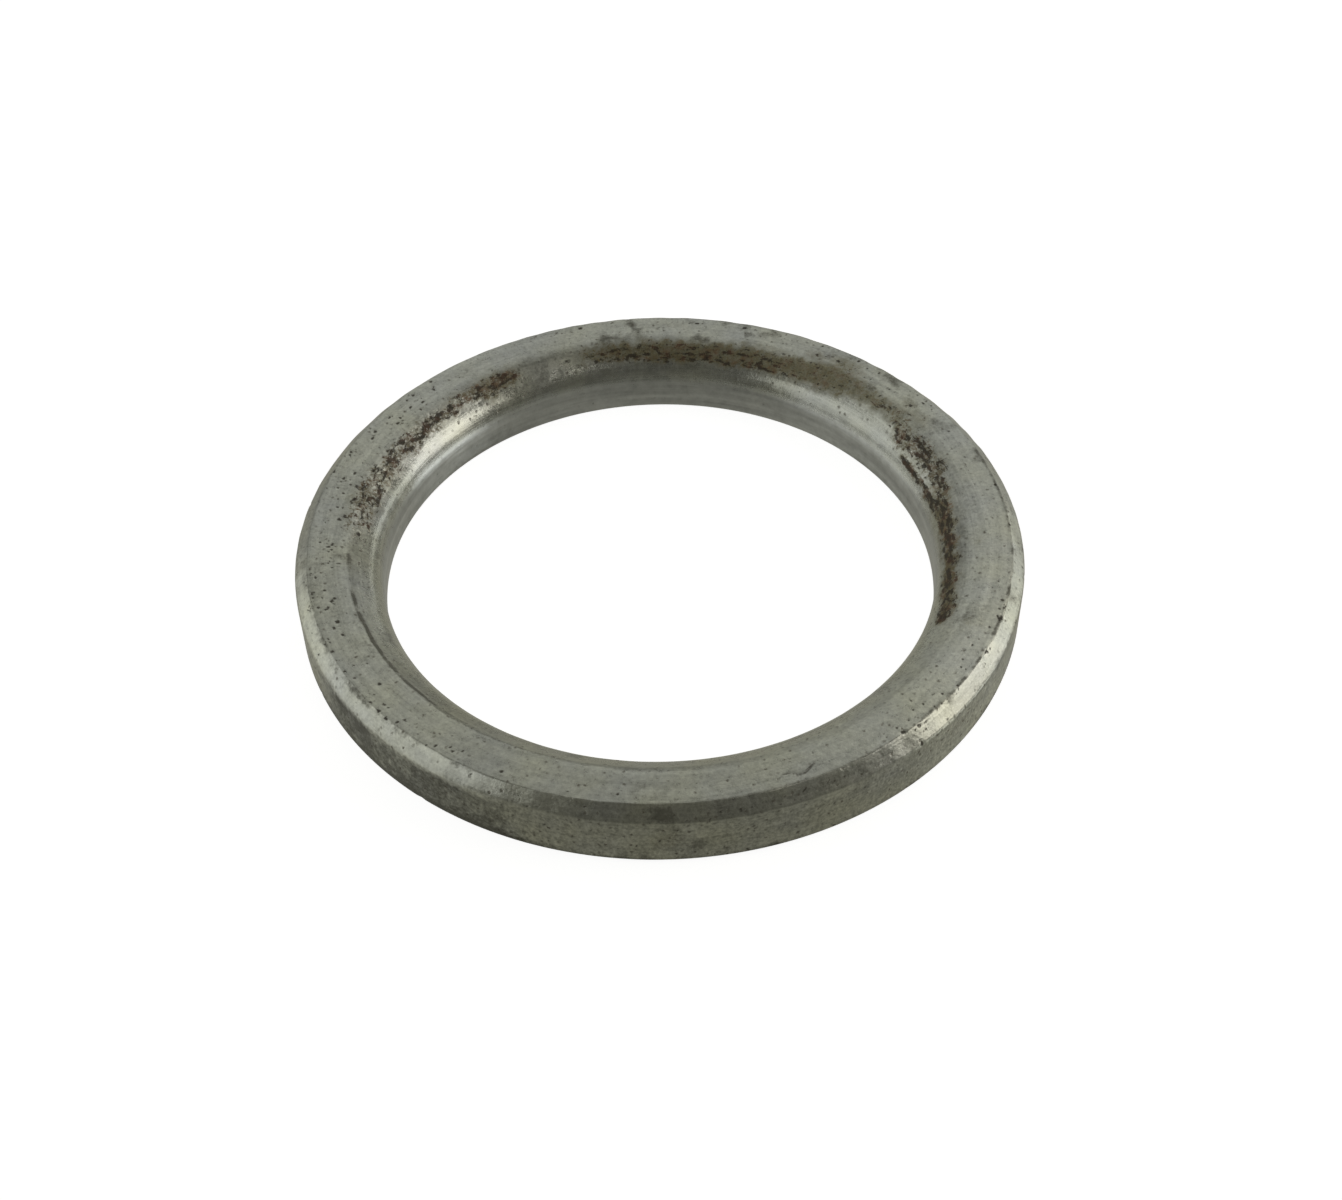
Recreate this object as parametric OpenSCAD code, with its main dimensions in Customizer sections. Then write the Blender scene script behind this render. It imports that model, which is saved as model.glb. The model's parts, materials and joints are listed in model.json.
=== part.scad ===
// Thick flat washer, turned from one piece of steel.
// Millimetres. The washer lies flat on Z = 0, and its axis is Z.

/* [Ring] */
// Outside diameter of the ring
outer_d = 85; // [80:0.5:95]
// Diameter of the bore
bore_d = 65; // [62:0.5:67]
// Thickness from face to face
thickness = 8; // [7:0.5:12]

/* [Outer edge] */
// Leg of the 45 degree chamfer round the top of the rim
rim_chamfer = 1.5; // [0.5:0.1:2.5]
// Leg of the edge break round the bottom of the rim
rim_break = 0.6; // [0.1:0.1:1]

/* [Relief in the bore's mouth] */
// Diameter of the relief's mouth in the top face
mouth_d = 72.8; // [71:0.1:74]
// Fall of the relief's cone below the top face, in degrees
relief_angle = 36; // [30:1:40]
// Radius that blends the cone into the bore
blend_r = 3; // [1:0.5:3.5]
// Leg of the edge break round the bottom of the bore
bore_break = 0.3; // [0.1:0.1:0.6]

/* [Finish] */
// Colour of the turned steel
steel_colour = "#8b8d84";

/* [Hidden] */
outer_r = outer_d / 2;
bore_r = bore_d / 2;
mouth_r = mouth_d / 2;
// Height at which the cone would meet the bore if nothing rounded the corner
corner_z = thickness - (mouth_r - bore_r) * tan(relief_angle);
// The blend's centre, and the distance from the sharp corner to each end of its arc
blend_reach = blend_r * tan((90 - relief_angle) / 2);
blend_centre = [bore_r + blend_r, corner_z - blend_reach];
blend_top = [bore_r + blend_reach * cos(relief_angle), corner_z + blend_reach * sin(relief_angle)];
// How far a cutter stands clear of the surface that it cuts
clear = 1;
round_fn = 180;

// The ring's cross-section with sharp corners at both edges of the top face and a sharp relief.
module sharp_section() {
    polygon([
        [bore_r + bore_break, 0],
        [outer_r - rim_break, 0],
        [outer_r, rim_break],
        [outer_r, thickness - rim_chamfer],
        [outer_r - rim_chamfer, thickness],
        [mouth_r, thickness],
        [bore_r, corner_z],
        [bore_r, bore_break],
    ]);
}

// What the blend takes off the corner between the cone and the bore.
module blend_cutter() {
    difference() {
        polygon([
            blend_centre,
            [bore_r, blend_centre.y],
            [bore_r - clear, blend_centre.y],
            [bore_r - clear, blend_top.y + clear],
            blend_top + clear * [-sin(relief_angle), cos(relief_angle)],
            blend_top,
        ]);
        translate(blend_centre) circle(r = blend_r, $fn = round_fn);
    }
}

module ring_section() {
    difference() {
        sharp_section();
        blend_cutter();
    }
}

// The washer itself: one ring of turned steel.
module washer_ring() {
    color(steel_colour)
        rotate_extrude($fn = round_fn) ring_section();
}

washer_ring();
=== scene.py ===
# %% [markdown]
# # A thick flat washer, turned from steel
# The object is one ring of plain steel. It was turned on a lathe, it carries no coating, and it has
# lain long enough to pit and to rust where water stood in the relief round its bore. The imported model
# gives its true size and place. This lesson gives it worn edges, pits, nicks, turning marks and rust.
# One body of revolution has few shapes to hide behind, so nearly all the work is in the surface.

import json
import math

import bpy
import numpy as np
from mathutils import Matrix, Vector


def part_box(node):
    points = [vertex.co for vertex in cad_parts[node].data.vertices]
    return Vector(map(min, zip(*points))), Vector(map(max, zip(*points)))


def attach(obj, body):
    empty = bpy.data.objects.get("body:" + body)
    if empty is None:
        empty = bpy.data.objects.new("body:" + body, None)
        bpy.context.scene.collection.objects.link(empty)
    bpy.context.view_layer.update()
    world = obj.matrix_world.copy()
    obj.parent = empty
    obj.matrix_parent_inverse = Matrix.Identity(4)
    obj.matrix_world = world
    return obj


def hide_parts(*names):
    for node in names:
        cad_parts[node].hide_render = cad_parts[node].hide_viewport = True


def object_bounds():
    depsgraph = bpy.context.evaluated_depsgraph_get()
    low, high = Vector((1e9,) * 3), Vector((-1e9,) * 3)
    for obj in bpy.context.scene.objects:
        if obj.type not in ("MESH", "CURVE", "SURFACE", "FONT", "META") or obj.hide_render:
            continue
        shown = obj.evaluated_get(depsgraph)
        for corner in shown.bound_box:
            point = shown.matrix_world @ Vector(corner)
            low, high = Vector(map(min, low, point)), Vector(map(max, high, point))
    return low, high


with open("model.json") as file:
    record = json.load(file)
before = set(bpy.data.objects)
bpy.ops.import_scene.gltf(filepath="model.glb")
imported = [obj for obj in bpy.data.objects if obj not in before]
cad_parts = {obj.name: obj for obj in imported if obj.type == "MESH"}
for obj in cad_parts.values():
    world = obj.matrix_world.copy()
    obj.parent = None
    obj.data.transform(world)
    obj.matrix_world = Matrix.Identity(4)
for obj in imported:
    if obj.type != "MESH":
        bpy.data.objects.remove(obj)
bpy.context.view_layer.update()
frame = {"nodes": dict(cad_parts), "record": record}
print("packed nodes:", sorted(frame["nodes"]))

# %% [markdown]
# ## The sizes
# Everything below is worked out in millimetres and turned into metres only when the mesh is made. The
# rim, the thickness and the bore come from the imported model. The chamfer and the relief are details
# that its box doesn't tell, so they are named here with the values that the design gives them. Only
# the blend at the foot of the relief is a millimetre wider than in the design, as wear leaves it.

# %% Sizes
MM = 0.001
low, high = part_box("washer_ring")
bore_mount = next(m for m in frame["record"]["mounts"] if m["name"] == "bore")

RIM_R = (high.x - low.x) / 2 / MM
THICK = (high.z - low.z) / MM
BORE_R = bore_mount["dims"]["r_mm"]
CHAMFER = 1.5
RIM_BREAK = 0.6
BORE_BREAK = 0.3
MOUTH_R = 36.4
RELIEF_FALL = math.radians(36)
RELIEF_BLEND = 4.0
relief_corner = THICK - (MOUTH_R - BORE_R) * math.tan(RELIEF_FALL)
print(f"rim {RIM_R:.2f}, bore {BORE_R:.2f}, thickness {THICK:.2f}")
print(f"the relief meets the bore at height {relief_corner:.2f}")

# %% [markdown]
# ## Chance that repeats
# Wear is irregular, but the lesson has to give the same ring each time it runs. Two helpers do that.
# `wander` is a slow wave round the ring that closes on itself, for edges that a hand deburred.
# `cloud` is smooth noise in space, read at the ring's own points, so it has no seam anywhere.

# %% Chance
TURN = 2 * math.pi


def wander(angle, slowest, fastest, seed):
    """A closed random wave round the ring, mostly between -1 and 1."""
    chance = np.random.default_rng(seed)
    waves = np.arange(slowest, fastest + 1)
    phase = chance.uniform(0, TURN, len(waves))
    share = chance.uniform(0.4, 1, len(waves))
    share /= np.sqrt((share**2).sum() / 2)
    return 0.5 * (share * np.cos(np.outer(angle, waves) + phase)).sum(axis=1)


def cloud(points, size, seed):
    """Smooth random values from -1 to 1 whose lumps are about `size` millimetres across."""
    table = np.random.default_rng(seed).uniform(-1, 1, 8192)
    scaled = points / size + 100
    cell = np.floor(scaled).astype(np.int64)
    part = scaled - cell
    part = part * part * (3 - 2 * part)
    total = np.zeros(points.shape[:-1])
    for corner in np.ndindex(2, 2, 2):
        near = cell + corner
        key = near[..., 0] * 73856093 ^ near[..., 1] * 19349663 ^ near[..., 2] * 83492791
        share = np.where(corner, part, 1 - part).prod(axis=-1)
        total += share * table[key % len(table)]
    return total


def fade(value, start, end):
    """0 at start and 1 at end, with a soft turn at both."""
    step = np.clip((value - start) / (end - start), 0, 1)
    return step * step * (3 - 2 * step)


# %% [markdown]
# ## The outline at every angle
# A lathe gives one outline, and turning it makes the ring. Here the outline is worked out afresh for
# each column of the mesh, so that the chamfer can be a little wider in one place than in another, as
# it is on a ring that was deburred by hand. Each corner is a point and a radius. One radius is the
# blend at the foot of the relief; the others are edges that handling has rounded. The mouth of the
# relief is worn the most. On the right it has no edge left, and on the left front it is crispest.

# %% Corners
COLUMNS = 880
angle = np.linspace(-math.pi, math.pi, COLUMNS, endpoint=False)
around = np.degrees(angle)

leg = CHAMFER + 0.04 * wander(angle, 2, 9, 11) + 0.045 * wander(angle, 24, 90, 12)
mouth = MOUTH_R + 0.03 * wander(angle, 2, 8, 13) + 0.03 * wander(angle, 20, 70, 14)
worn_top = 0.36 + 0.1 * wander(angle, 5, 60, 15)
worn_mouth = 0.12 * wander(angle, 3, 30, 16)
worn_mouth += np.interp(
    around,
    [-180, -160, -112, -84, -52, 30, 60, 140, 180],
    [4, 1.4, 1.2, 3, 6, 6, 3, 3, 4],
)
worn_low = 0.55 + 0.12 * wander(angle, 6, 80, 17)
worn_low += 0.6 * np.interp(around, [-172, -160, -115, -100], [0, 1, 1, 0])
same = np.ones(COLUMNS)

# Each corner: radius from the axis, height, rounding, rows on the rounding, rows on the straight
# after it. The order is bore, underside, rim, chamfer, flat face, relief and back to the bore.
CORNERS = [
    ((BORE_R + BORE_BREAK) * same, 0 * same, 0.12 * same, 3, 8),
    ((RIM_R - RIM_BREAK) * same, 0 * same, 0.3 * same, 3, 1),
    (RIM_R * same, RIM_BREAK * same, 0.4 * same, 3, 12),
    (RIM_R * same, THICK - leg, worn_low, 5, 7),
    (RIM_R - leg, THICK * same, worn_top, 4, 20),
    (mouth, THICK * same, worn_mouth, 7, 14),
    (BORE_R * same, relief_corner * same, RELIEF_BLEND * same, 15, 6),
    (BORE_R * same, BORE_BREAK * same, 0.12 * same, 3, 1),
]


def outline(corners):
    """Radius, height and outward direction of every row of the mesh, at every angle."""
    spot = np.array([[r, z] for r, z, *_ in corners])
    bend = np.array([c[2] for c in corners])
    ahead = np.roll(spot, -1, axis=0) - spot
    ahead /= np.linalg.norm(ahead, axis=1, keepdims=True)
    heading = np.unwrap(np.arctan2(ahead[:, 1], ahead[:, 0]), axis=0)
    before = np.roll(heading, 1, axis=0)
    before[0] -= TURN
    reach = bend * np.tan((heading - before) / 2)
    enter = spot - reach[:, None] * np.roll(ahead, 1, axis=0)
    leave = spot + reach[:, None] * ahead
    radii, heights, facing = [], [], []
    for i, (_, _, _, on_bend, on_straight) in enumerate(corners):
        centre_r = enter[i, 0] - bend[i] * np.sin(before[i])
        centre_z = enter[i, 1] + bend[i] * np.cos(before[i])
        for step in np.linspace(0, 1, on_bend):
            out = before[i] + step * (heading[i] - before[i]) - math.pi / 2
            radii.append(centre_r + bend[i] * np.cos(out))
            heights.append(centre_z + bend[i] * np.sin(out))
            facing.append(out)
        after = enter[(i + 1) % len(corners)]
        for step in np.arange(1, on_straight + 1) / (on_straight + 1):
            radii.append(leave[i, 0] + step * (after[0] - leave[i, 0]))
            heights.append(leave[i, 1] + step * (after[1] - leave[i, 1]))
            facing.append(heading[i] - math.pi / 2)
    return np.array(radii), np.array(heights), np.array(facing)


row_r, row_z, row_out = outline(CORNERS)
ROWS = len(row_r)
print(f"mesh grid: {ROWS} rows by {COLUMNS} columns, {2 * ROWS * COLUMNS} triangles")

# %% [markdown]
# ## A map of the surface
# To place a pit or a patch of rust, each point needs a plain address: its angle round the ring, and
# how far it lies from the relief's mouth, measured along the outline. That distance is called `down`.
# It is positive down the relief and the bore, and negative out over the flat face, the chamfer and
# the rim. The flat face ends near -4.6, the chamfer near -6.7 and the rim's wall near -13.2. All marks
# are placed with these two numbers. Angles run anticlockwise from the right, and -90 is the front.

# %% Addresses
step_length = np.hypot(np.diff(row_r, axis=0), np.diff(row_z, axis=0))
along = np.vstack([np.zeros(COLUMNS), np.cumsum(step_length, axis=0)])
mouth_row = sum(corner[3] + corner[4] for corner in CORNERS[:5]) + CORNERS[5][3] // 2
down = along - along[mouth_row]
points = np.stack([row_r * np.cos(angle), row_r * np.sin(angle), row_z], axis=-1)
print("the address runs from", round(float(down.min()), 2), "to", round(float(down.max()), 2), "mm")

height = np.zeros((ROWS, COLUMNS))
pit = np.zeros((ROWS, COLUMNS))
soil = np.zeros((ROWS, COLUMNS))


def near(degrees, distance, reach):
    """The window of the grid round an address, and how far its points lie from it in millimetres."""
    turn = (around - degrees + 180) % 360 - 180
    columns = np.flatnonzero(np.abs(turn) * math.radians(1) * BORE_R < reach)
    rows = np.flatnonzero(np.abs(down[:, columns].mean(axis=1) - distance) < reach)
    window = np.ix_(rows, columns)
    sideways = np.radians(turn[columns]) * row_r[window]
    return window, sideways, down[window] - distance


# %% [markdown]
# ## Pits
# Water eats small round holes. Each is stamped into the surface as a hollow whose outline is bent by
# noise, so that no two are alike, and the same stamp darkens its floor. The large ones have their own
# addresses. The rest are strewn in groups, each with a stretch of the ring, a band and a count.

# %% Pits
def stamp_pit(degrees, distance, radius, depth, stretch=1.0):
    """A ragged hollow with a dark floor. Large ones are darker than small ones."""
    window, sideways, across = near(degrees, distance, 3 * radius + 0.3)
    ragged = 1 + 0.35 * cloud(points[window], 0.35, 21)
    away = np.hypot(sideways / stretch, across) / (radius * ragged)
    height[window] -= depth * (1 - fade(away, 0.3, 1.2))
    dark = min(1.0, 0.45 + 2.2 * radius)
    pit[window] = np.maximum(pit[window], dark * (1 - fade(away, 0.4, 1.2)))


# angle, distance, radius
LARGE_PITS = [
    (-159, -2.3, 0.3), (-142.5, -2.2, 0.26), (-138.5, -3.6, 0.24), (-153, -4.3, 0.3), (-148, -4.4, 0.24),
    (-138, -4.5, 0.3), (-134, -4.5, 0.2), (-127.5, -4.5, 0.22), (-115, -3.6, 0.26), (-97, -3.5, 0.28),
    (-51.8, -4.3, 0.34), (-22.5, -4.4, 0.36), (-20, -4.35, 0.2), (-0.5, -4.5, 0.26), (9.5, -4.3, 0.26),
    (25, -3.1, 0.2), (34.5, -2.0, 0.3), (50, -4.0, 0.3), (53, -2.4, 0.34), (57.3, -2.1, 0.28),
    (73, -3.8, 0.32), (82, -3.6, 0.26), (87.5, 3.0, 0.32), (104, -3.8, 0.32), (103, 2.3, 0.32),
    (142, -1.1, 0.26), (147, -3.3, 0.26), (163, -1.9, 0.3), (166, -1.6, 0.26), (174.5, -0.9, 0.32),
    (178, 1.2, 0.42), (182.5, -2.2, 0.22), (187, -0.8, 0.24), (193, -2.7, 0.22), (98, 7.9, 0.2),
    (163.5, -4.4, 0.24), (-50, -6.6, 0.34), (-119, -5.1, 0.2), (-154.5, -6.0, 0.2),
]

# first angle, last angle, nearest distance, furthest distance, count, smallest radius, largest radius
PIT_GROUPS = [
    (-180, 180, -6.6, -0.2, 110, 0.08, 0.2),
    (-172, -120, -4.9, -3.0, 56, 0.1, 0.28),
    (135, 205, -4.4, -0.2, 110, 0.1, 0.3),
    (-56, -14, -5.0, -2.8, 64, 0.1, 0.24),
    (-56, -28, -6.6, -4.8, 40, 0.07, 0.13),
    (-112, -60, -6.6, -5.0, 40, 0.08, 0.2),
    (25, 62, -4.3, -0.3, 60, 0.1, 0.24),
    (62, 112, -4.2, -0.3, 50, 0.1, 0.2),
    (-180, 180, -12.6, -7.0, 240, 0.09, 0.2),
    (-180, 180, 4.2, 9.0, 50, 0.07, 0.14),
]

for degrees, distance, radius in LARGE_PITS:
    stamp_pit(degrees, distance, radius, 0.18 * radius)

chance = np.random.default_rng(31)
for first, last, near_edge, far_edge, count, smallest, largest in PIT_GROUPS:
    for _ in range(count):
        radius = smallest + (largest - smallest) * chance.random() ** 2
        degrees = chance.uniform(first, last)
        stamp_pit(degrees, chance.uniform(near_edge, far_edge), radius, 0.22 * radius)
print("pits:", len(LARGE_PITS) + sum(group[4] for group in PIT_GROUPS))

# %% [markdown]
# ## Rust
# The relief held water, so most of the rust lies there, in a band that comes and goes. It has two
# parts. A thin brown stain lets the steel show through. On it sit crumbs of crust, dark and ragged.
# The band is given at a few angles: where it starts and ends down the relief, how strong
# the stain is, and how thickly the crust stands. Between those angles the values change in proportion.

# %% Rust band
# angle, start, end, stain, crust
RUST_BAND = np.array([
    (-180, -0.2, 2.2, 0.15, 0.3), (-176, 0.5, 1.6, 0.0, 0.1), (-170, 0.3, 0.8, 0.0, 0.0),
    (-27.5, 1.6, 2.4, 0.0, 0.0), (-25, 1.0, 3.1, 0.85, 0.95), (-20, 1.2, 3.7, 0.8, 0.8),
    (-12, 1.7, 4.3, 0.8, 0.74), (0, 1.9, 4.3, 0.8, 0.76), (8, 1.6, 4.5, 0.7, 0.75),
    (13, 0.6, 4.5, 0.45, 0.74), (17, 0.0, 4.4, 0.3, 0.72), (25, 0.0, 4.4, 0.3, 0.7),
    (30, 0.1, 3.4, 0.4, 0.62), (34, -0.8, 1.6, 0.55, 0.52), (44, -0.9, 1.7, 0.7, 0.4),
    (50, -1.3, 2.4, 0.8, 0.46), (57, -0.8, 2.7, 0.85, 0.46), (65, -0.3, 2.9, 0.87, 0.48),
    (78, -0.2, 3.1, 0.88, 0.48), (90, -0.1, 3.0, 0.88, 0.5), (100, 0.0, 2.9, 0.85, 0.5),
    (105, 0.3, 2.5, 0.65, 0.4), (109, 0.8, 1.6, 0.0, 0.05), (118, 0.6, 1.6, 0.0, 0.05),
    (121, 0.1, 2.4, 0.6, 0.66), (127, -0.1, 2.8, 0.55, 0.66), (133, 0.0, 2.5, 0.35, 0.62),
    (142, 0.0, 2.6, 0.2, 0.62), (152, 0.0, 2.9, 0.2, 0.64), (160, -0.3, 3.0, 0.25, 0.66),
    (168, -0.8, 2.9, 0.22, 0.66), (175, -0.9, 2.7, 0.18, 0.58), (180, -0.2, 2.2, 0.15, 0.3),
])


def rust_at(degrees):
    """Start, end, stain and crust of the band at an angle, or at every angle of a row."""
    return [np.interp(degrees, RUST_BAND[:, 0], RUST_BAND[:, column]) for column in (1, 2, 3, 4)]


band_start, band_end, stain_level, crust_level = rust_at(around)
ragged = 0.5 * cloud(points, 1.5, 41) + 0.4 * cloud(points, 0.6, 42)
inside = fade(down + ragged, band_start - 1.0, band_start + 1.0)
inside *= fade(down + ragged, band_end + 0.9, band_end - 0.9)
stain = stain_level * inside
crust = crust_level * inside

# Where the crust is thicker or thinner than the rest:
# first angle, last angle, distance, half width, change
RIDGES = [
    (58, 108, 2.5, 0.5, 0.26), (10, 27, 3.9, 0.4, 0.3), (11, 27, 3.1, 0.45, -0.4),
    (120, 131, 1.2, 0.8, 0.15), (62, 106, 1.1, 0.5, 0.1), (-24, 10, 3.2, 0.6, 0.1),
    (136, 160, 1.4, 0.6, 0.1),
]
for start, end, distance, half_width, change in RIDGES:
    ends = fade(around, start - 2, start + 2) * fade(around, end + 2, end - 2)
    crust += change * ends * np.exp(-(((down - distance) / half_width) ** 2)) * (inside > 0.1)

# Marks outside the band: angle, distance, half length, half width, stain, crust
STAINS = [
    (31, -1.2, 3.4, 1.3, 0.45, 0.3), (35, -2.0, 1.6, 1.2, 0.4, 0.35), (51, -2.0, 3.8, 2.2, 0.6, 0.36),
    (57, -1.8, 2.0, 1.4, 0.5, 0.34), (47, -0.8, 4.0, 0.9, 0.55, 0.3), (67, -0.7, 5.0, 0.6, 0.4, 0.25),
    (118, -1.3, 0.7, 1.1, 0.15, 0.26), (97, -1.4, 0.8, 1.3, 0.2, 0.24), (170, -0.8, 4.5, 0.9, 0.25, 0.36),
    (76, 2.8, 1.6, 0.8, 0.6, 0.2), (142, -1.0, 1.2, 0.5, 0.3, 0.3), (-90, -9.3, 2.4, 2.0, 0.34, 0.1),
    (-42, -8.6, 2.6, 1.4, 0.34, 0.1), (-42, -5.9, 3.0, 0.8, 0.14, 0.2), (128, 3.2, 2.0, 0.5, 0.3, 0.1),
    (-5, -0.4, 1.2, 0.6, 0.3, 0.1), (-25, -0.9, 1.6, 0.9, 0.34, 0.1), (-14, 0.5, 2.0, 0.5, 0.2, 0.1),
    (112, -1.0, 5.0, 1.6, 0.12, 0.2), (84, -2.6, 6.0, 1.0, 0.1, 0.2), (186, -2.6, 4.0, 1.4, 0.1, 0.22),
]
for degrees, distance, half_length, half_width, stained, crusted in STAINS:
    window, sideways, across = near(degrees, distance, 2.2 * max(half_length, half_width))
    away = np.hypot(sideways / half_length, across / half_width) + 0.4 * ragged[window]
    share = 1 - fade(away, 0.1, 1.5)
    stain[window] = np.maximum(stain[window], stained * share)
    crust[window] = np.maximum(crust[window], crusted * share)

# Pits under the rust, more of them where the crust is thick
PITS_PER_MM2 = 1.1
rusty_pits = 0
for degrees in np.arange(-180, 180, 1.0):
    start, end, _, thick = rust_at(degrees)
    expected = PITS_PER_MM2 * thick * math.radians(1) * MOUTH_R * (end - start)
    for _ in range(chance.poisson(expected)):
        radius = 0.08 + 0.14 * chance.random() ** 1.6
        pit_degrees = degrees + chance.random()
        distance = chance.uniform(start, end)
        stamp_pit(pit_degrees, distance, radius, 0.3 * radius, stretch=chance.uniform(0.8, 1.5))
        rusty_pits += 1
print("pits in the rust:", rusty_pits)

# %% [markdown]
# ## Nicks, scratches, dirt and painted shade
# A ring that rolls about in a box gets its edges knocked. A nick is a shallow dent in an edge, and a
# scratch is a groove between two addresses. Dirt stays where nothing wipes it: along the upper edge of
# the chamfer, in loose patches and near the rust. A thin dark line lies under the mouth of the relief,
# and the rim is darker, both on the left front. Painted shade darkens the foot of the rim where it
# meets the table, and a painted dark reflection darkens the front of the chamfer.

# %% Marks
def nick(degrees, distance, radius, depth):
    """A round dent."""
    window, sideways, across = near(degrees, distance, 1.6 * radius)
    away = np.hypot(sideways, across) / radius
    height[window] -= depth * (1 - fade(away, 0.2, 1.0))


def scratch(start, end, width, depth, dark):
    """A groove from one address to another."""
    middle = [(a + b) / 2 for a, b in zip(start, end)]
    run = np.array([math.radians(end[0] - start[0]) * RIM_R, end[1] - start[1]])
    length = math.hypot(*run)
    run = run / length
    window, sideways, across = near(*middle, length / 2 + 3 * width)
    lengthwise = np.abs(sideways * run[0] + across * run[1])
    beside = np.abs(sideways * run[1] - across * run[0])
    mark = (1 - fade(beside, 0.3 * width, width)) * (1 - fade(lengthwise, 0.7 * length / 2, length / 2))
    height[window] -= depth * mark
    pit[window] = np.maximum(pit[window], dark * mark)


# angle, distance, radius, depth
NICKS = [
    (-162.3, -4.7, 0.5, 0.12), (-146.5, -5.0, 0.35, 0.06), (-104, -4.6, 0.4, 0.05), (-62, -4.7, 0.35, 0.05),
    (-31, -4.8, 0.4, 0.07), (14, -4.6, 0.35, 0.06), (41, -4.6, 0.5, 0.06), (95, -4.5, 0.45, 0.07),
    (131, -4.6, 0.4, 0.06), (-75, -6.7, 0.5, 0.05), (-10, -6.7, 0.4, 0.05), (33, 2.5, 0.45, 0.05),
    (-128, -12.6, 0.6, 0.06), (64, -12.6, 0.6, 0.06), (170, -6.7, 0.5, 0.06), (205, -12.6, 0.5, 0.05),
]
for mark in NICKS:
    nick(*mark)

# start address, end address, width, depth, darkness
SCRATCHES = [
    ((-69.3, -3.8), (-66.3, -2.6), 0.3, 0.03, 0.6), ((-69.3, -3.7), (-70.6, -3.1), 0.28, 0.03, 0.55),
    ((-70.6, -3.1), (-72.2, -2.9), 0.25, 0.02, 0.5), ((-75.5, -3.4), (-74.2, -3.2), 0.2, 0.02, 0.4),
    ((-103.5, -3.0), (-102.0, -2.6), 0.18, 0.02, 0.45), ((-164.2, -5.4), (-163.0, -4.8), 0.2, 0.05, 0.6),
    ((-166, -3.5), (-148, -3.3), 0.14, 0.02, 0.3), ((-160, -3.9), (-143, -3.7), 0.12, 0.02, 0.25),
    ((-163, -4.2), (-150, -4.0), 0.12, 0.02, 0.25), ((-30, -4.35), (15, -4.35), 0.14, 0.02, 0.35),
    ((-52, -4.1), (-24, -3.9), 0.12, 0.01, 0.25), ((20, -3.6), (28, -0.6), 0.1, 0.01, 0.2),
    ((110, -3.4), (124, -2.9), 0.12, 0.01, 0.2), ((-118, -2.1), (-108, -1.0), 0.1, 0.01, 0.2),
]
for start, end, width, depth, dark in SCRATCHES:
    scratch(start, end, width, depth, dark)

# One small round print, as a burr or a drop leaves
window, sideways, across = near(2.5, 0.2, 1.2)
print_edge = np.exp(-(((np.hypot(sideways, across) - 0.46) / 0.13) ** 2))
height[window] -= 0.02 * print_edge
pit[window] = np.maximum(pit[window], 0.5 * print_edge)


def amount(angles, amounts):
    """How much of a mark each angle of the ring gets."""
    return np.interp(around, angles, amounts)


def between(outer_0, outer_1, inner_0, inner_1):
    """1 on a band of distances. Each edge runs from where it is 0 to where it is 1."""
    return fade(down, outer_0, outer_1) * fade(down, inner_0, inner_1)


line = 0.5 + 0.5 * cloud(points, 1.6, 51) + 0.35 * cloud(points, 0.5, 52)
# The thin line under the mouth of the relief, on the left front
under_mouth = amount([-180, -166, -140, -126, -104], [0.3, 1, 1, 0.6, 0])
soil += 1.1 * under_mouth * between(-0.05, 0.3, 0.9, 0.45) * np.clip(1.3 * line - 0.05, 0, 1)
# Painted dark reflection: the front of the chamfer, which faces the viewer, is darkened and mottled
front = amount([-116, -96, -64, -50], [0, 1, 1, 0])
soil += front * between(-6.9, -6.2, -4.6, -5.2) * np.clip(0.2 + 0.45 * line, 0, 0.7)
# Painted shade: the foot of the rim, where it meets the table, is darkened all round
soil = np.maximum(soil, 0.5 * between(-16.0, -13.6, -11.2, -13.0))
# The rim on the left front
left_rim = amount([-166, -146, -122, -100], [0, 1, 1, 0])
soil += 0.5 * left_rim * fade(down, -6.6, -7.6) * np.clip(0.8 + line, 0, 1.3)
# Loose patches everywhere but in the bore
patches = np.clip(cloud(points, 3.0, 53) + 0.6 * cloud(points, 1.1, 54) - 0.1, 0, 1)
soil += 0.5 * patches * fade(down, 4.5, 3.0)
# The upper edge of the chamfer, on the left front and then on the right
left_edge = amount([-168, -158, -128, -112], [0, 1, 1, 0])
soil += 0.6 * left_edge * between(-5.5, -4.9, -4.2, -4.6) * np.clip(1.3 * line - 0.1, 0, 1)
right_edge = amount([-56, -50, 14, 24], [0, 1, 0.8, 0])
soil += 0.7 * right_edge * between(-4.75, -4.5, -4.0, -4.35) * np.clip(1.4 * line - 0.15, 0, 1)
# The flat face and the rim behind the rust, at the back
behind = amount([22, 36, 100, 116], [0, 1, 1, 0])
smudges = np.clip(0.1 + cloud(points, 1.6, 55) + 0.6 * cloud(points, 0.7, 56), 0, 1)
soil += 0.5 * behind * fade(down, 0.5, -0.5) * smudges

# %% [markdown]
# ## The crust
# Rust lifts off the steel in crumbs. It stands proud of the relief, which lies well below the flat
# face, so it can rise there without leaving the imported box. On the flat face it has eaten in instead.
# Every face is also pressed in by a hair, unevenly, so that light runs over it as over real steel.

# %% Crust and waviness
crumbs = 0.5 + 0.5 * cloud(points, 0.55, 61) + 0.35 * cloud(points, 0.27, 62)
height += 0.06 * crust * np.clip(crumbs, 0, 1.3) * fade(down, 0.3, 1.2)
height -= 0.03 * crust * np.clip(crumbs, 0, 1.3) * fade(down, 0.6, -0.2)
height += 0.008 * (cloud(points, 9, 63) - 1) + 0.003 * (cloud(points, 2.5, 64) - 1)

# %% [markdown]
# ## The mesh
# The grid is closed both ways, so it makes a watertight ring. Each point moves along its own outward
# direction. The marks go with the mesh as point attributes, which the material reads later, so a pit's
# hollow and its dark floor always lie in the same place.

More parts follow.
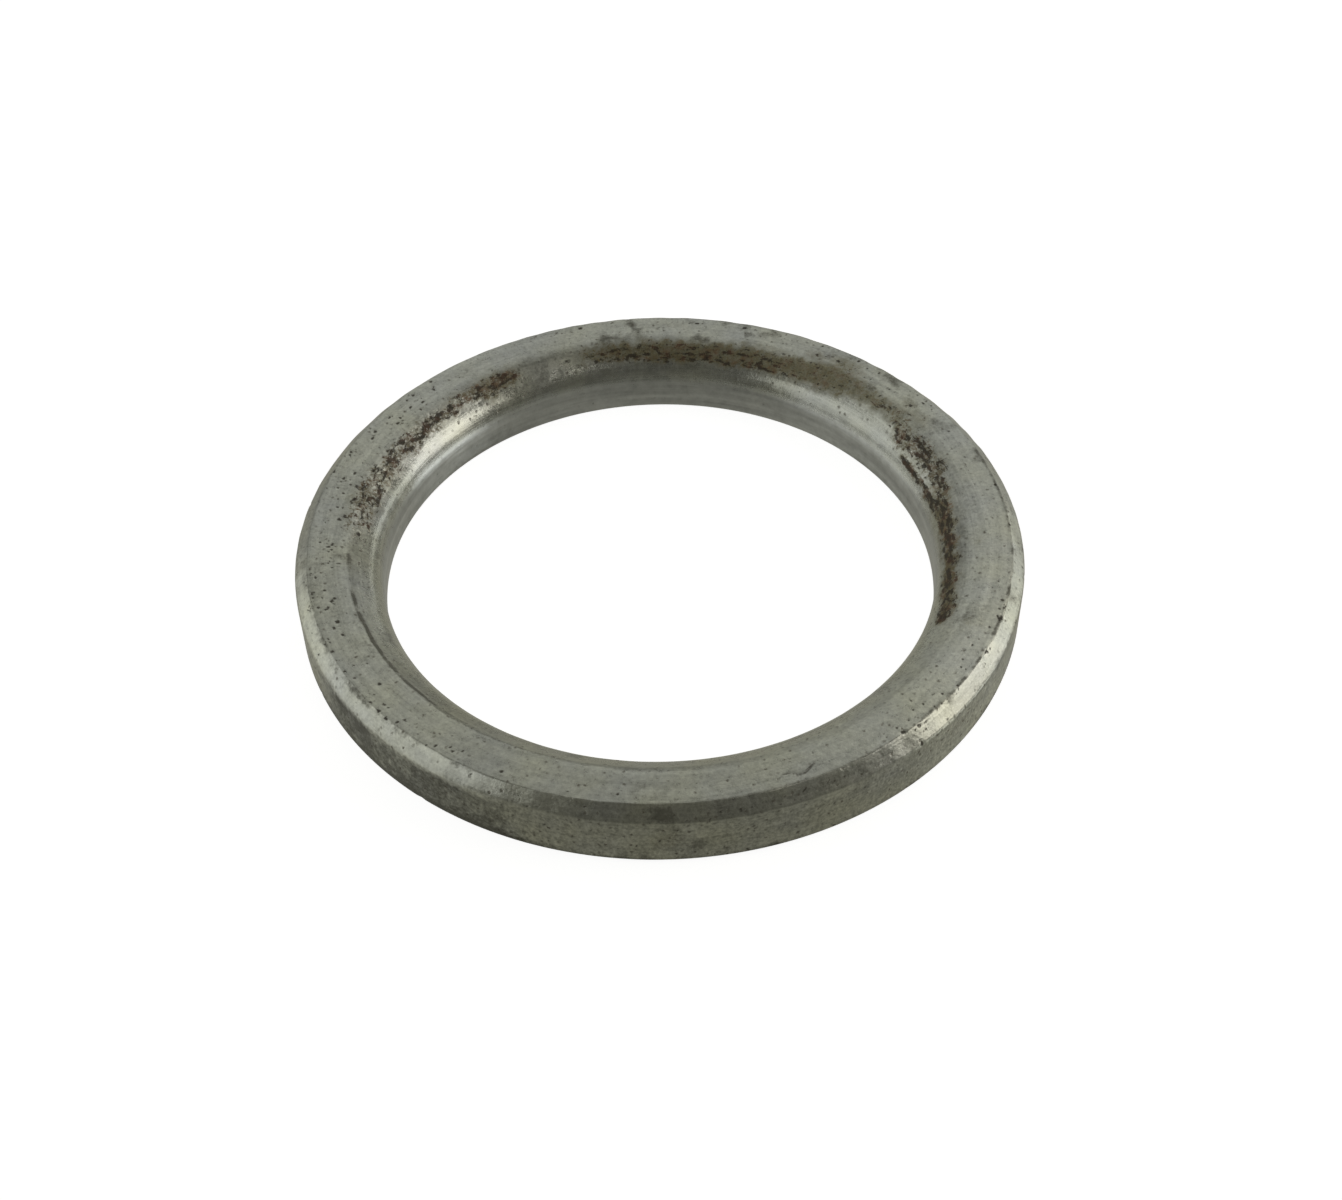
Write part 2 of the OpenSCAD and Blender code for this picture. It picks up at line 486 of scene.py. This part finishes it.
# %% Build the ring
final_r = row_r + height * np.cos(row_out)
final_z = row_z + height * np.sin(row_out)
final_z = np.clip(final_z, 0, THICK)
place = np.stack([final_r * np.cos(angle), final_r * np.sin(angle), final_z], axis=-1) * MM

row, column = np.meshgrid(np.arange(ROWS), np.arange(COLUMNS), indexing="ij")
next_row, next_column = (row + 1) % ROWS, (column + 1) % COLUMNS
faces = np.stack(
    [
        row * COLUMNS + column,
        row * COLUMNS + next_column,
        next_row * COLUMNS + next_column,
        next_row * COLUMNS + column,
    ],
    axis=-1,
).reshape(-1, 4)

mesh = bpy.data.meshes.new("turned_ring")
mesh.from_pydata(place.reshape(-1, 3).tolist(), [], faces.tolist())
mesh.shade_smooth()
marks = {"stain": stain, "crust": crust, "pit": pit, "soil": soil, "down": down}
for name, values in marks.items():
    layer = mesh.attributes.new(name, "FLOAT", "POINT")
    layer.data.foreach_set("value", values.astype(np.float32).ravel())

ring = bpy.data.objects.new("turned_ring", mesh)
bpy.context.scene.collection.objects.link(ring)
ring_box = [[round(c * 1000, 2) for c in corner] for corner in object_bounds()]
print("faces:", len(mesh.polygons), "box in mm:", ring_box)

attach(ring, "root")
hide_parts("washer_ring")

# %% [markdown]
# ## A flat map
# If the finish is ever painted into a picture, the surface has to lie flat. A ring unrolls into one
# long strip. It is cut into two half turns, which lie one above the other, so that little room in a
# square picture is wasted. Across it runs the angle, and up it runs the distance along the outline.

# %% Flat map
HALF = COLUMNS // 2
MAP_MARGIN = 0.006
LAST_STEP = 0.2
outline_share = along.mean(axis=1)
outline_share = np.append(outline_share, outline_share[-1] + LAST_STEP)
outline_share /= outline_share[-1]
corner_row = row[..., None] + np.array([0, 0, 1, 1])
corner_column = column[..., None] % HALF + np.array([0, 1, 1, 0])
half_turn = column[..., None] // HALF
across_map = MAP_MARGIN + (1 - 2 * MAP_MARGIN) * corner_column / HALF
up_map = (half_turn + MAP_MARGIN + (1 - 2 * MAP_MARGIN) * outline_share[corner_row]) / 2
flat_map = np.stack([across_map, up_map], axis=-1)
mesh.uv_layers.new(name="OFBake").data.foreach_set("uv", flat_map.astype(np.float32).ravel())
print("map spans", flat_map.min().round(4), "to", flat_map.max().round(4))

# %% [markdown]
# ## A short way to write a material
# A material is a web of small sums. Written out node by node it is long and hard to read, so `Wire`
# wraps one output and lets ordinary arithmetic lay the nodes. `Sheet` adds any other kind of node.

# %% Wires
class Wire:
    """One output of a node. Arithmetic on it lays Math nodes."""

    def __init__(self, sheet, socket):
        self.sheet = sheet
        self.socket = socket

    def sum(self, operation, *values, clamp=False):
        settings = {"operation": operation, "use_clamp": clamp}
        return self.sheet.node("ShaderNodeMath", settings, dict(enumerate(values)))

    def __add__(self, other):
        return self.sum("ADD", self, other)

    def __mul__(self, other):
        return self.sum("MULTIPLY", self, other)

    def __sub__(self, other):
        return self.sum("SUBTRACT", self, other)

    def __rsub__(self, other):
        return self.sum("SUBTRACT", other, self)

    __radd__ = __add__
    __rmul__ = __mul__

    def clamp(self):
        return self.sum("ADD", self, 0.0, clamp=True)

    def greater(self, other):
        return self.sum("MAXIMUM", self, other)

    def sine(self):
        return self.sum("SINE", self)

    def ramp(self, start, end):
        """0 at start, 1 at end, softly."""
        settings = {"interpolation_type": "SMOOTHSTEP"}
        inputs = {"Value": self, "From Min": start, "From Max": end}
        return self.sheet.node("ShaderNodeMapRange", settings, inputs)


class Sheet:
    """The node tree of one material."""

    def __init__(self, name):
        self.material = bpy.data.materials.new(name)
        self.material.use_nodes = True
        self.tree = self.material.node_tree
        self.tree.nodes.clear()

    def node(self, kind, settings=None, inputs=None, output=0):
        made = self.tree.nodes.new(kind)
        for name, value in (settings or {}).items():
            setattr(made, name, value)
        for name, value in (inputs or {}).items():
            if isinstance(value, Wire):
                self.tree.links.new(value.socket, made.inputs[name])
            elif isinstance(value, tuple) and len(value) == 3 and made.inputs[name].type == "RGBA":
                made.inputs[name].default_value = (*value, 1.0)
            else:
                made.inputs[name].default_value = value
        return Wire(self, made.outputs[output]) if len(made.outputs) else made

    def value(self, name):
        return self.node("ShaderNodeAttribute", {"attribute_name": name}, output="Fac")

    def mix(self, share, first, second):
        """Between two colours."""
        settings = {"data_type": "RGBA"}
        return self.node("ShaderNodeMix", settings, {0: share, 6: first, 7: second}, output=2)

    def tint(self, colour, strength):
        """A colour made lighter or darker by a number."""
        return self.node("ShaderNodeVectorMath", {"operation": "SCALE"}, {0: colour, "Scale": strength})

    def vector(self, x, y, z):
        return self.node("ShaderNodeCombineXYZ", None, {0: x, 1: y, 2: z})

    def noise(self, vector, scale, detail=2.0, w=None, rough=0.5):
        """Smooth noise, mostly between -1 and 1."""
        settings = {"noise_dimensions": "3D" if w is None else "4D"}
        inputs = {"Vector": vector, "Scale": scale, "Detail": detail, "Roughness": rough}
        if w is not None:
            inputs["W"] = w
        return (self.node("ShaderNodeTexNoise", settings, inputs) - 0.5) * 4.0


# %% [markdown]
# ## Where each part of the outline lies
# The material needs to know whether a point is on the chamfer, on the rim or in the bore. The `down`
# address tells it. Each share below is 1 on its own zone and fades at its ends.

# %% Zones and coordinates
steel = Sheet("turned_steel")
spot = steel.node("ShaderNodeTexCoord", output="Object")
spot = steel.node("ShaderNodeVectorMath", {"operation": "SCALE"}, {0: spot, "Scale": 1 / MM})
x = steel.node("ShaderNodeSeparateXYZ", None, {0: spot}, output=0)
y = steel.node("ShaderNodeSeparateXYZ", None, {0: spot}, output=1)
z = steel.node("ShaderNodeSeparateXYZ", None, {0: spot}, output=2)
flat = steel.vector(x, y, 0.0)
radius = steel.node("ShaderNodeVectorMath", {"operation": "LENGTH"}, {0: flat}, output="Value")
turn = steel.node("ShaderNodeMath", {"operation": "ARCTAN2"}, {0: y, 1: x})

where = steel.value("down")
on_rim = where.ramp(-6.6, -6.95)
on_chamfer = where.ramp(-4.45, -4.75) * where.ramp(-6.95, -6.6)
in_bore = where.ramp(4.6, 6.0)

# %% [markdown]
# ## Bare steel
# Turning leaves fine lines that run round the axis on every face. They come from noise that changes
# quickly across the cut, in radius and height, and slowly along it. The rim wasn't machined as well,
# or has been handled more, so it is duller and blotched. Over everything lies a close mottle, as on
# any steel that fingers have touched. Steel is grey; outside the bore it turns a little olive, more in
# some patches than in others. It is also more olive towards the front and less towards the back, which
# is a painted reflection tint.

# %% Steel tones
grain = steel.noise(steel.vector(x * 0.10, y * 0.10, z * 5.0), 1.0, 2.0, w=radius * 5.0)
coarse = steel.noise(steel.vector(x * 0.07, y * 0.07, z * 1.3), 1.0, 2.0, w=radius * 1.3)
mottle = steel.noise(spot, 0.9, 4.0, rough=0.62)
speckle = steel.noise(spot, 2.7, 2.0, rough=0.6)
patch = steel.noise(spot, 0.16, 2.0)
blotch = steel.noise(steel.vector(x * 1.5, y * 1.5, z * 0.8), 1.0, 4.0, rough=0.65)

smooth = 1.0 - where.ramp(2.5, 5.0) * 0.8
dots = speckle * smooth
tone = 1.0 + grain * 0.07 + coarse * (0.15 + in_bore * 0.07) + mottle * 0.15 + dots * 0.20 + patch * 0.05
tone = tone - on_rim * (0.10 - blotch * 0.18 - speckle * 0.12)
# Painted reflection tint: the olive share grows towards the front and falls towards the back, on top of the
# real olive patches
warm = ((0.62 + patch * 0.35 - y * 0.003) * (1.0 - in_bore * 0.9)).clamp()
bare = steel.mix(warm, (0.490, 0.505, 0.500), (0.505, 0.510, 0.425))
bare = steel.tint(bare, tone)

# %% [markdown]
# ## Specks
# Bare steel in damp air gets pinpoint rust. Space is cut into small cells with one speck each, and only
# the few cells with the highest random number show theirs.

# %% Specks
bend = steel.node("ShaderNodeTexNoise", None, {"Vector": spot, "Scale": 3.0}, output="Color")
wobble = steel.node("ShaderNodeVectorMath", {"operation": "ADD"}, {0: spot, 1: steel.tint(bend, 0.35)})
cell = {"Vector": wobble, "Scale": 1.5}
reach = steel.node("ShaderNodeTexVoronoi", None, cell, output="Distance")
ticket = steel.node("ShaderNodeTexVoronoi", None, cell, output="Color")
pick = steel.node("ShaderNodeSeparateXYZ", None, {0: ticket})
rarity = 0.66 - on_rim * 0.10 - (0.5 + patch * 0.5).clamp() * 0.18 + in_bore * 0.25
speck = (reach + speckle * 0.10).ramp(0.40, 0.08) * pick.ramp(rarity, rarity + 0.45)

# %% [markdown]
# ## Rust
# The mesh says where the rust lies. Fine noise breaks its edges and opens holes in it, as real rust
# does. It has three layers. The stain is olive brown and partly clear. The crust on it is darker, and
# redder in places. The thickest crust holds near-black kernels, which are longer round the ring than
# across it, because rust starts in the turning lines. Rust isn't a metal and it is rough, and pits
# have dark floors.

# %% Rust, dirt and painted shade
clot = steel.noise(spot, 1.25, 4.0, rough=0.7)
fine = steel.noise(spot, 2.1, 3.0, rough=0.66)
finer = steel.noise(spot, 5.0, 3.0, rough=0.6)
lump = steel.noise(steel.vector(x * 1.0, y * 1.0, z * 2.0), 1.0, 1.5, w=radius * 2.0, rough=0.5)
stain_share = (steel.value("stain") * 1.15 + clot * 0.22 + finer * 0.08 - 0.06).ramp(0.0, 1.05)
crust_share = (steel.value("crust") + clot * 0.24 + fine * 0.30 + finer * 0.12).ramp(0.38, 0.95)
kernel = (steel.value("crust") + lump * 0.48 + finer * 0.22).ramp(0.58, 0.90)
hue = (0.5 + fine * 0.55).clamp()
red = (0.05 + steel.noise(spot, 0.8, 3.0) * 0.9).clamp()
stained = steel.mix(hue, (0.110, 0.098, 0.046), (0.275, 0.245, 0.128))
stained = steel.mix(red * 0.35, stained, (0.260, 0.150, 0.090))
crusted = steel.mix((0.5 + finer * 0.6).clamp(), (0.078, 0.060, 0.027), (0.205, 0.160, 0.076))
crusted = steel.mix(red * 0.7, crusted, (0.215, 0.088, 0.040))
hollow = (steel.value("pit") + finer * 0.14 + fine * 0.08).ramp(0.22, 0.8)
dirt_and_shade_share = (steel.value("soil") + fine * 0.22 + finer * 0.1).ramp(0.15, 0.85)

colour = steel.mix(stain_share * 0.85, bare, stained)
# Dirt darkens the colour here, and so do the painted shade at the foot of the rim and the painted dark
# reflection on the front of the chamfer, which lie in the same layer
colour = steel.mix(dirt_and_shade_share * 0.75, colour, (0.050, 0.046, 0.030))
colour = steel.mix(speck * 0.7, colour, (0.085, 0.068, 0.045))
colour = steel.mix(crust_share * 0.8, colour, crusted)
darkest = steel.mix(red, (0.030, 0.022, 0.011), (0.110, 0.050, 0.023))
colour = steel.mix(kernel * 0.88, colour, darkest)
colour = steel.mix(hollow * 0.88, colour, (0.030, 0.022, 0.013))

covered = (stain_share * 0.6).greater(hollow * 0.95).greater(speck * 0.6).greater(dirt_and_shade_share * 0.7)
covered = covered.greater(crust_share * 0.85).greater(kernel)
metal = 1.0 - covered * 0.9
rough = 0.32 + grain * 0.02 + mottle * 0.04 + dots * 0.05 + on_rim * 0.07
rough = rough - where.ramp(1.0, 3.0) * where.ramp(6.4, 5.0) * 0.05
rough = (rough + covered * 0.36).clamp()

# %% [markdown]
# ## Small relief
# What is too small for the mesh is a bump: the turning lines, the grain of the rust and, on the
# chamfer, the ribs that a tool leaves when it chatters. The number of ribs is whole, so they close.

# %% Bump
RIBS = 610
ribs = (turn * RIBS + coarse * 1.5).sine() * on_chamfer * (0.1 + patch * 0.9).clamp()
relief = grain * 0.0035 + coarse * 0.0065 + ribs * 0.0020 + mottle * 0.006 + dots * 0.0050
relief = relief + finer * crust_share * 0.012 + crust_share * 0.012 + fine * stain_share * 0.012
relief = relief + blotch * on_rim * 0.008 + speckle * on_rim * 0.004 - speck * 0.02
bump_inputs = {"Strength": 1.0, "Distance": MM, "Height": relief}
bump = steel.node("ShaderNodeBump", None, bump_inputs, output="Normal")

shade = steel.node("ShaderNodeBsdfPrincipled", None, {
    "Base Color": colour,
    "Metallic": metal,
    "Roughness": rough,
    "Normal": bump,
    "Anisotropic": 0.5,
    "Anisotropic Rotation": 0.25,
})
steel.node("ShaderNodeOutputMaterial", None, {"Surface": shade})
mesh.materials.append(steel.material)
print("nodes in the steel:", len(steel.tree.nodes))

# %% [markdown]
# ## The table
# The ring lies on a plain white table. The table glows by itself, so it stays white, and only a soft
# trace of the ring's shadow is left on it. Bare metal would mirror it and lose its own tones, so the
# table is kept out of reflections, and the room supplies them.

# %% Table
TABLE_R = 1.5
TABLE_SIDES = 96
table_mesh = bpy.data.meshes.new("table")
side = np.linspace(0, TURN, TABLE_SIDES + 1)[:-1]
edge = [(TABLE_R * math.cos(a), TABLE_R * math.sin(a), 0.0) for a in side]
table_mesh.from_pydata(edge, [], [tuple(range(TABLE_SIDES))])
table = bpy.data.objects.new("table", table_mesh)
bpy.context.scene.collection.objects.link(table)
table.visible_glossy = False
table.visible_diffuse = False
white = Sheet("table_white")
board = white.node("ShaderNodeBsdfPrincipled", None, {
    "Base Color": (0.32, 0.32, 0.31),
    "Roughness": 0.9,
    "Specular IOR Level": 0.0,
    "Emission Color": (1.0, 1.0, 1.0),
    "Emission Strength": 0.92,
})
white.node("ShaderNodeOutputMaterial", None, {"Surface": board})
table_mesh.materials.append(white.material)

# %% [markdown]
# ## The panels
# A metal shows what stands round it, so the lights are placed with care. All are soft panels. A tall
# bright window on the right lights the left of the relief and the right of the chamfer, and one large
# dim window on the left does the same for the other side. Behind the ring hang dim panels that the
# flat face shows, and near the viewer a small lamp. Two panels below the table stand for what its far
# sides throw back. The three brightest are a little warm and the rest are nearly neutral.

# %% Panels
PANEL_REACH = 0.9
BRIGHT = 1.05
WARM_LIGHT = (1.0, 0.965, 0.90)
PLAIN_LIGHT = (0.98, 0.995, 0.965)
# direction from the right, anticlockwise; height; half width; half height, all in degrees; brightness
PANELS = [
    (1, 28, 18, 20, 1.25),  # the window on the right
    (28, 6, 17, 11, 0.8),  # two low ones, further back on the right
    (58, 4, 14, 8, 0.45),
    (45, 44, 12, 10, 1.1),  # two high ones behind on the right
    (72, 50, 12, 8, 0.42),
    (90, 33, 24, 9, 0.42),  # three dim ones at the back: a strip, a low strip and a ceiling
    (112, 8, 24, 8, 0.3),
    (109, 66, 26, 24, 0.25),
    (178, 22, 40, 32, 0.5),  # the window on the left
    (321, 62, 6, 5, 1.5),  # the lamp near the viewer
    (1, -20, 18, 9, 1.0),  # below the table, right and left
    (183, -20, 36, 9, 0.25),
]
for number, (direction, rise, half_wide, half_high, brightness) in enumerate(PANELS):
    lamp = bpy.data.lights.new(f"panel_{number}", "AREA")
    lamp.shape = "RECTANGLE"
    lamp.color = WARM_LIGHT if brightness > BRIGHT else PLAIN_LIGHT
    lamp.size = 2 * PANEL_REACH * math.cos(math.radians(rise)) * math.tan(math.radians(half_wide))
    lamp.size_y = 2 * PANEL_REACH * math.tan(math.radians(half_high))
    lamp.energy = 4 * lamp.size * lamp.size_y * brightness
    panel = bpy.data.objects.new(f"panel_{number}", lamp)
    bpy.context.scene.collection.objects.link(panel)
    turn_angle = math.radians(direction)
    rise_angle = math.radians(rise)
    panel.location = PANEL_REACH * Vector((
        math.cos(rise_angle) * math.cos(turn_angle),
        math.cos(rise_angle) * math.sin(turn_angle),
        math.sin(rise_angle),
    ))
    panel.rotation_euler = panel.location.to_track_quat("Z", "Y").to_euler()
    panel.visible_camera = False
print("panels:", len(PANELS))

# %% [markdown]
# ## The dim room
# What comes from no panel comes from the room itself. It is dim and a little warm. Below the level of
# the table it is lighter, most of all at the back. The camera sees plain white instead of the room, so
# the background stays clean.

# %% Room
ABOVE = 0.12
BELOW = 0.30
BELOW_BACK_GAIN = 0.07
EDGE_STEEPNESS = -8.0
room = bpy.data.worlds.new("room")
bpy.context.scene.world = room
room.use_nodes = True
nodes, links = room.node_tree.nodes, room.node_tree.links
nodes.clear()


def room_math(operation, *values):
    made = nodes.new("ShaderNodeMath")
    made.operation = operation
    for socket, value in zip(made.inputs, values):
        if isinstance(value, bpy.types.NodeSocket):
            links.new(value, socket)
        else:
            socket.default_value = value
    return made.outputs[0]


look = nodes.new("ShaderNodeSeparateXYZ")
links.new(nodes.new("ShaderNodeTexCoord").outputs["Generated"], look.inputs[0])
lower = room_math("MULTIPLY_ADD", look.outputs["Y"], BELOW_BACK_GAIN, BELOW)
below = room_math("MULTIPLY_ADD", look.outputs["Z"], EDGE_STEEPNESS, 0.0)
below.node.use_clamp = True
extra = room_math("SUBTRACT", lower, ABOVE)
strength = room_math("MULTIPLY_ADD", below, extra, ABOVE)
dim = nodes.new("ShaderNodeBackground")
dim.inputs["Color"].default_value = (1.02, 1.0, 0.86, 1.0)
links.new(strength, dim.inputs["Strength"])
plain = nodes.new("ShaderNodeBackground")
plain.inputs["Color"].default_value = (1.0, 1.0, 1.0, 1.0)
choose = nodes.new("ShaderNodeMixShader")
links.new(nodes.new("ShaderNodeLightPath").outputs["Is Camera Ray"], choose.inputs[0])
links.new(dim.outputs[0], choose.inputs[1])
links.new(plain.outputs[0], choose.inputs[2])
links.new(choose.outputs[0], nodes.new("ShaderNodeOutputWorld").inputs[0])

# %% [markdown]
# ## The camera
# It looks down on the ring at about forty-four degrees from rather close by, which is why the near
# side looks larger than the far side. Small turns about its own axes frame the ring.

# %% Camera
CAMERA_AWAY = 0.23375
down_angle = math.radians(44.34)
forward = Vector((0, math.cos(down_angle), -math.sin(down_angle)))
upward = Vector((0, math.sin(down_angle), math.cos(down_angle)))
right = Vector((1, 0, 0))
yaw, pitch, roll = (math.radians(a) for a in (0.30, -0.63, 1.24))


def turned(first, second, by):
    """Two directions at right angles, turned together in their own plane."""
    cosine, sine = math.cos(by), math.sin(by)
    return first * cosine - second * sine, first * sine + second * cosine


right, forward = turned(right, forward, yaw)
upward, forward = turned(upward, forward, pitch)
right, upward = turned(right, upward, roll)

SENSOR_MM = 36.0
lens = bpy.data.cameras.new("camera")
lens.sensor_width = SENSOR_MM
lens.lens = SENSOR_MM * 16 / 11
lens.clip_start = 0.01
camera = bpy.data.objects.new("camera", lens)
bpy.context.scene.collection.objects.link(camera)
camera.matrix_world = Matrix((
    (right.x, upward.x, -forward.x, 0.0),
    (right.y, upward.y, -forward.y, -CAMERA_AWAY * math.cos(down_angle)),
    (right.z, upward.z, -forward.z, CAMERA_AWAY * math.sin(down_angle)),
    (0.0, 0.0, 0.0, 1.0),
))
bpy.context.scene.camera = camera
bpy.context.scene.view_settings.view_transform = "Standard"
print("camera at", [round(c, 4) for c in camera.matrix_world.translation])
